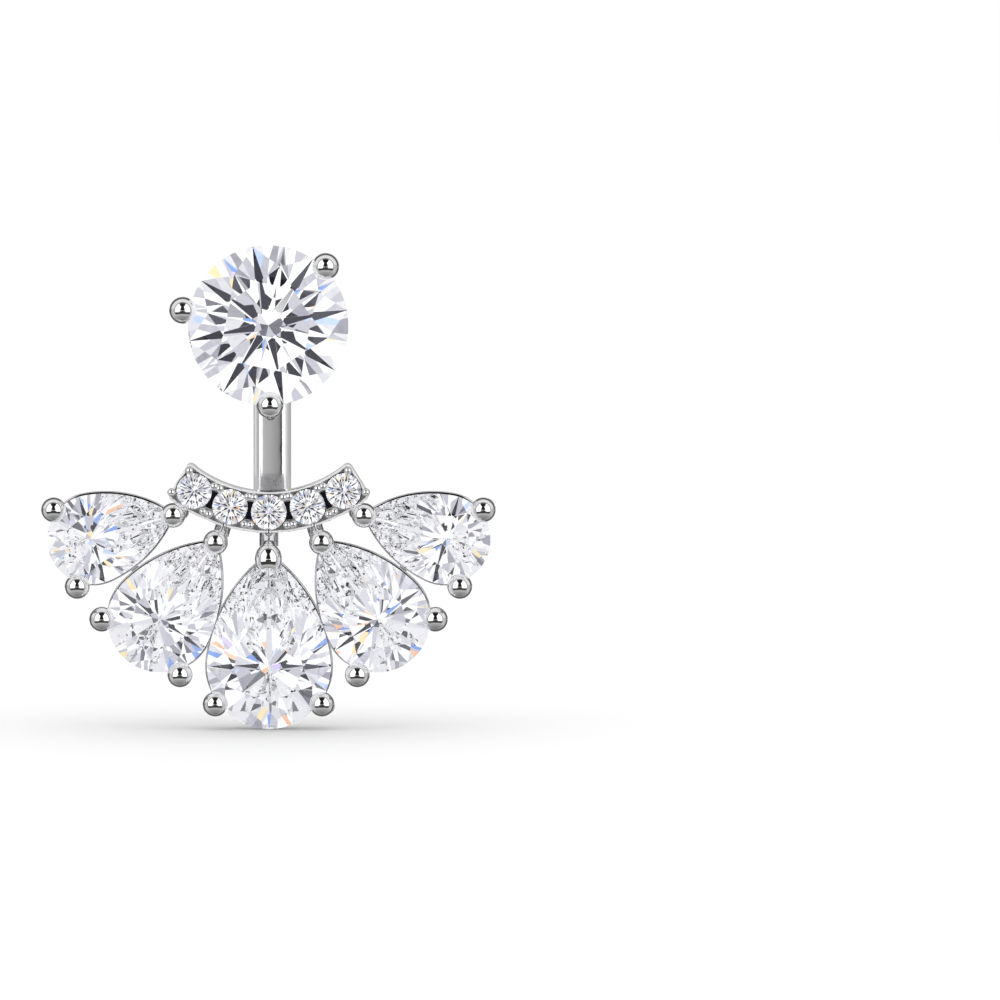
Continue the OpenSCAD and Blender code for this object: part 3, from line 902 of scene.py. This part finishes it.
def pave_metal(group):
    """The band's metal: a satin rim made near white as a painted highlight, a floor inside it darkened as
    painted shade, and slots blackened as painted shade.
    """
    material = polished_metal("pave_metal_painted_light", group, WHITE_METAL)
    tree = material.node_tree
    # Painted shade on the floor and in the slots, and a painted highlight on the rim
    paint_light_on_front(material, BAND_FRONT + 0.08, BAND_FRONT + 0.04, PAVE_FLOOR_PAINTED_SHADE)
    paint_light_on_front(material, BAND_FRONT - 0.03, BAND_FRONT - 0.1, RECESS_PAINTED_SHADE)
    rim = paint_light_on_front(material, BAND_FRONT + 0.08, BAND_FRONT + 0.1, RIM_PAINTED_HIGHLIGHT)
    metallic = tree.nodes["Principled BSDF"].inputs["Metallic"]
    tree.links.new(value_between(tree, rim, 1, RIM_METALLIC), metallic)
    turn_satin(material, rim, RIM_SATIN)
    return material


def bar_metal(group):
    """The bar's metal, whose polish turns satin towards its foot."""
    material = polished_metal("bar_white_metal", group, WHITE_METAL)
    tree = material.node_tree
    height = part_of(tree, object_place(tree), "Z")
    turn_satin(material, fade(tree, height, BAR_FOOT[0] * MM, BAR_FOOT[1] * MM), BAR_SATIN)
    return material


def basket_metal(group):
    """The settings' metal, with painted shade darkening the rails' fronts, under the stones' edges."""
    material = polished_metal("basket_metal_painted_shade", group, WHITE_METAL)
    paint_light_on_front(material, PEAR_Z - 0.2, PEAR_Z - 0.3, RAIL_PAINTED_SHADE)
    return material


def cut_stone(name, group, tones, glint, cloud_scale=STONE_CLOUDS, blur=0):
    """Clear stone with polished facets and a fine ground girdle."""
    material, tree, shader = new_material(name)
    cloud = add_marks(tree, group, cloud_scale)[0]
    facing = math_node(tree, "ABSOLUTE", part_of(tree, face_normal(tree), "Y"))
    girdle = math_node(tree, "LESS_THAN", facing, 0.05)
    tree.links.new(mix_colour(tree, cloud, *tones), shader.inputs["Base Color"])
    tree.links.new(value_between(tree, girdle, blur, GROUND_GIRDLE), shader.inputs["Roughness"])
    shader.inputs["IOR"].default_value = STONE_IOR
    shader.inputs["Transmission Weight"].default_value = 1
    shader.inputs["Specular Tint"].default_value = (*glint, 1)
    return material


def floor_material():
    material, tree, shader = new_material("pale_floor")
    cloud = noise(tree, object_place(tree), 40, 2)
    tree.links.new(mix_colour(tree, cloud, *STAGE_TONES), shader.inputs["Base Color"])
    shader.inputs["Roughness"].default_value = 0.8
    return material


def add_floor():
    deselect_all()
    bpy.ops.mesh.primitive_plane_add(size=4, location=(0, 0, FLOOR_Z))
    floor = bpy.context.object
    floor.name = "floor"
    floor.data.materials.append(floor_material())
    floor.visible_glossy = False
    floor.visible_transmission = False


def math_node(tree, operation, a, b=None):
    node = tree.nodes.new("ShaderNodeMath")
    node.operation = operation
    for i, value in enumerate((a, b)):
        if value is None:
            continue
        if isinstance(value, (int, float)):
            node.inputs[i].default_value = value
        else:
            tree.links.new(value, node.inputs[i])
    return node.outputs[0]


def ramp_node(tree, factor, stops, interpolation="LINEAR"):
    node = tree.nodes.new("ShaderNodeValToRGB")
    node.color_ramp.interpolation = interpolation
    elements = node.color_ramp.elements
    for i, (place, colour) in enumerate(stops):
        element = elements[i] if i < 2 else elements.new(place)
        element.position = place
        element.color = (*colour, 1)
    tree.links.new(factor, node.inputs["Fac"])
    return node.outputs["Color"]


def mix_colour(tree, factor, a, b):
    node = tree.nodes.new("ShaderNodeMix")
    node.data_type = "RGBA"
    for socket, value in ((node.inputs["Factor"], factor), (node.inputs[6], a), (node.inputs[7], b)):
        if isinstance(value, (int, float)):
            socket.default_value = value
        elif isinstance(value, tuple):
            socket.default_value = (*value, 1)
        else:
            tree.links.new(value, socket)
    return node.outputs[2]


def fade(tree, value, low, high):
    """Rises smoothly from 0 at low to 1 at high, or falls where low is the larger."""
    node = tree.nodes.new("ShaderNodeMapRange")
    node.interpolation_type = "SMOOTHSTEP"
    node.inputs["From Min"].default_value = min(low, high)
    node.inputs["From Max"].default_value = max(low, high)
    node.inputs["To Min"].default_value = 0 if low < high else 1
    node.inputs["To Max"].default_value = 1 if low < high else 0
    tree.links.new(value, node.inputs["Value"])
    return node.outputs["Result"]


def share_of(tree, value, low, high):
    node = tree.nodes.new("ShaderNodeMapRange")
    node.inputs["From Min"].default_value = low
    node.inputs["From Max"].default_value = high
    tree.links.new(value, node.inputs["Value"])
    return node.outputs["Result"]


def lay(tree, colour, tone, *masks):
    """Lays a tone over a colour where all the masks are 1."""
    mask = masks[0]
    for other in masks[1:]:
        mask = math_node(tree, "MULTIPLY", mask, other)
    tone = (tone,) * 3 if isinstance(tone, (int, float)) else tone
    return mix_colour(tree, mask, colour, tone)


def tone_ramp(tree, degrees, rows):
    """A ramp through rows of a place in degrees and a brightness."""
    low = rows[0][0]
    high = rows[-1][0]
    stops = [((place - low) / (high - low), (tone,) * 3) for place, tone in rows]
    return ramp_node(tree, share_of(tree, degrees, low, high), stops)


def ray_angles(tree, direction):
    """Degrees from the viewer's direction, above eye level, and to the right."""
    split = tree.nodes.new("ShaderNodeSeparateXYZ")
    tree.links.new(direction, split.inputs[0])
    x, y, z = split.outputs
    towards = math_node(tree, "MULTIPLY", y, -1)
    off_axis = math_node(tree, "DEGREES", math_node(tree, "ARCCOSINE", towards))
    height = math_node(tree, "DEGREES", math_node(tree, "ARCSINE", z))
    side = math_node(tree, "DEGREES", math_node(tree, "ARCTAN2", x, towards))
    return off_axis, height, side


def add_layer(tree, colour, layer, off_axis, height, *masks):
    """Lays a layer's tone over a colour, inside its own degrees and other masks."""
    away = [fade(tree, off_axis, *edge) for edge in layer.away]
    above = [fade(tree, height, *edge) for edge in layer.height]
    return lay(tree, colour, layer.tone, *masks, *away, *above)


def window_pillar(tree, height, side):
    """Marks a pillar that flares above and below its waist."""
    over_waist = math_node(tree, "SUBTRACT", height, PILLAR_WAIST)
    upper = math_node(tree, "MULTIPLY", over_waist, PILLAR_FLARE[0])
    lower = math_node(tree, "MULTIPLY", over_waist, -PILLAR_FLARE[1])
    flare = math_node(tree, "MAXIMUM", upper, lower)
    across = math_node(tree, "SUBTRACT", math_node(tree, "ABSOLUTE", side), flare)
    return fade(tree, across, PILLAR_HALF + PILLAR_BLUR, PILLAR_HALF - PILLAR_BLUR)


def metal_light(tree, direction):
    """What the metal sees: a domed window with a dark pillar in front, and a strip at eye level."""
    off_axis, height, side = ray_angles(tree, direction)
    colour = tone_ramp(tree, height, WALL_TONES)
    for layer in (DARK_BACK, FAR_BACK, BRIGHT_RING, WINDOW_FRAME, WINDOW):
        colour = add_layer(tree, colour, layer, off_axis, height)
    colour = add_layer(tree, colour, PILLAR, off_axis, height, window_pillar(tree, height, side))
    colour = add_layer(tree, colour, SILL, off_axis, height)
    strip = Layer(tone_ramp(tree, side, STRIP_TONES), (), STRIP_HEIGHT)
    return add_layer(tree, colour, strip, off_axis, height)


def cells(tree, direction, location, scale):
    """Two random values for each small patch of the tent."""
    place = tree.nodes.new("ShaderNodeMapping")
    place.inputs["Location"].default_value = location
    tree.links.new(direction, place.inputs["Vector"])
    patches = tree.nodes.new("ShaderNodeTexVoronoi")
    patches.inputs["Scale"].default_value = scale
    tree.links.new(place.outputs["Vector"], patches.inputs["Vector"])
    split = tree.nodes.new("ShaderNodeSeparateColor")
    tree.links.new(patches.outputs["Color"], split.inputs["Color"])
    return split.outputs["Red"], split.outputs["Green"]


def stone_light(tree, direction, bounce):
    """What the stones see: a bright tent with grey flags, coloured sparks and the viewer's dark opening."""
    off_axis = ray_angles(tree, direction)[0]
    flag = cells(tree, direction, FLAG_PLACE, FLAG_SCALE)[0]
    spark, kind = cells(tree, direction, SPARK_PLACE, SPARK_SCALE)
    colour = ramp_node(tree, flag, FLAGS, "CONSTANT")
    sparks = ramp_node(tree, kind, SPARKS, "CONSTANT")
    colour = lay(tree, colour, sparks, math_node(tree, "LESS_THAN", spark, SPARK_SHARE))
    colour = lay(tree, colour, DEEP_TENT, fade(tree, bounce, *DEEP))
    colour = lay(tree, colour, BACK_TENT, fade(tree, off_axis, *TENT_BACK))
    return lay(tree, colour, OPENING_TONE, fade(tree, off_axis, OPENING + 0.5, OPENING - 0.5))


def set_world():
    world = bpy.data.worlds.new("studio")
    bpy.context.scene.world = world
    world.use_nodes = True
    tree = world.node_tree
    background = tree.nodes["Background"]
    direction = tree.nodes.new("ShaderNodeTexCoord").outputs["Generated"]
    ray = tree.nodes.new("ShaderNodeLightPath")
    for_metal = metal_light(tree, direction)
    for_stones = stone_light(tree, direction, ray.outputs["Ray Depth"])
    colour = mix_colour(tree, ray.outputs["Is Glossy Ray"], (SKY,) * 3, for_metal)
    colour = mix_colour(tree, ray.outputs["Is Transmission Ray"], colour, for_stones)
    colour = mix_colour(tree, ray.outputs["Is Camera Ray"], colour, (1.0, 1.0, 1.0))
    tree.links.new(colour, background.inputs["Color"])
    background.inputs["Strength"].default_value = 1.0


def set_render():
    scene = bpy.context.scene
    scene.cycles.max_bounces = BOUNCES
    scene.cycles.transmission_bounces = BOUNCES
    scene.cycles.glossy_bounces = BOUNCES
    scene.cycles.use_denoising = True
    scene.view_settings.view_transform = "Standard"


def dress_stones(finishes):
    """Gives each stone of the frame the finish of its kind, which its name starts with."""
    for name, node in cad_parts.items():
        for kind, material in finishes.items():
            if name.startswith(kind):
                node.data.materials.clear()
                node.data.materials.append(material)


marks = make_polish_marks()
white_metal = polished_metal("polished_white_metal", marks, WHITE_METAL)
make_stud(white_metal)
make_nut(polished_metal("polished_nut_sheet", marks, NUT_METAL, SHEET_CLOUDS))
make_pave(pave_metal(marks), white_metal)
make_loop_and_bar(bar_metal(marks))
make_fan(basket_metal(marks))
# The necks and solder are darkened with painted shade
make_necks(polished_metal("neck_metal_painted_shade", marks, NECK_PAINTED_SHADE_METAL))
dress_stones({
    "stud_stone": cut_stone("clear_round_stone", marks, STUD_STONE, STUD_GLINT),
    "pear_stone": cut_stone("clear_pear_stone", marks, PEAR_STONE, STONE_GLINT),
    "pave_stone": cut_stone("clear_small_stone", marks, SMALL_STONE, STONE_GLINT, METAL_CLOUDS, SMALL_BLUR),
})
add_camera()
add_floor()
set_world()
set_render()
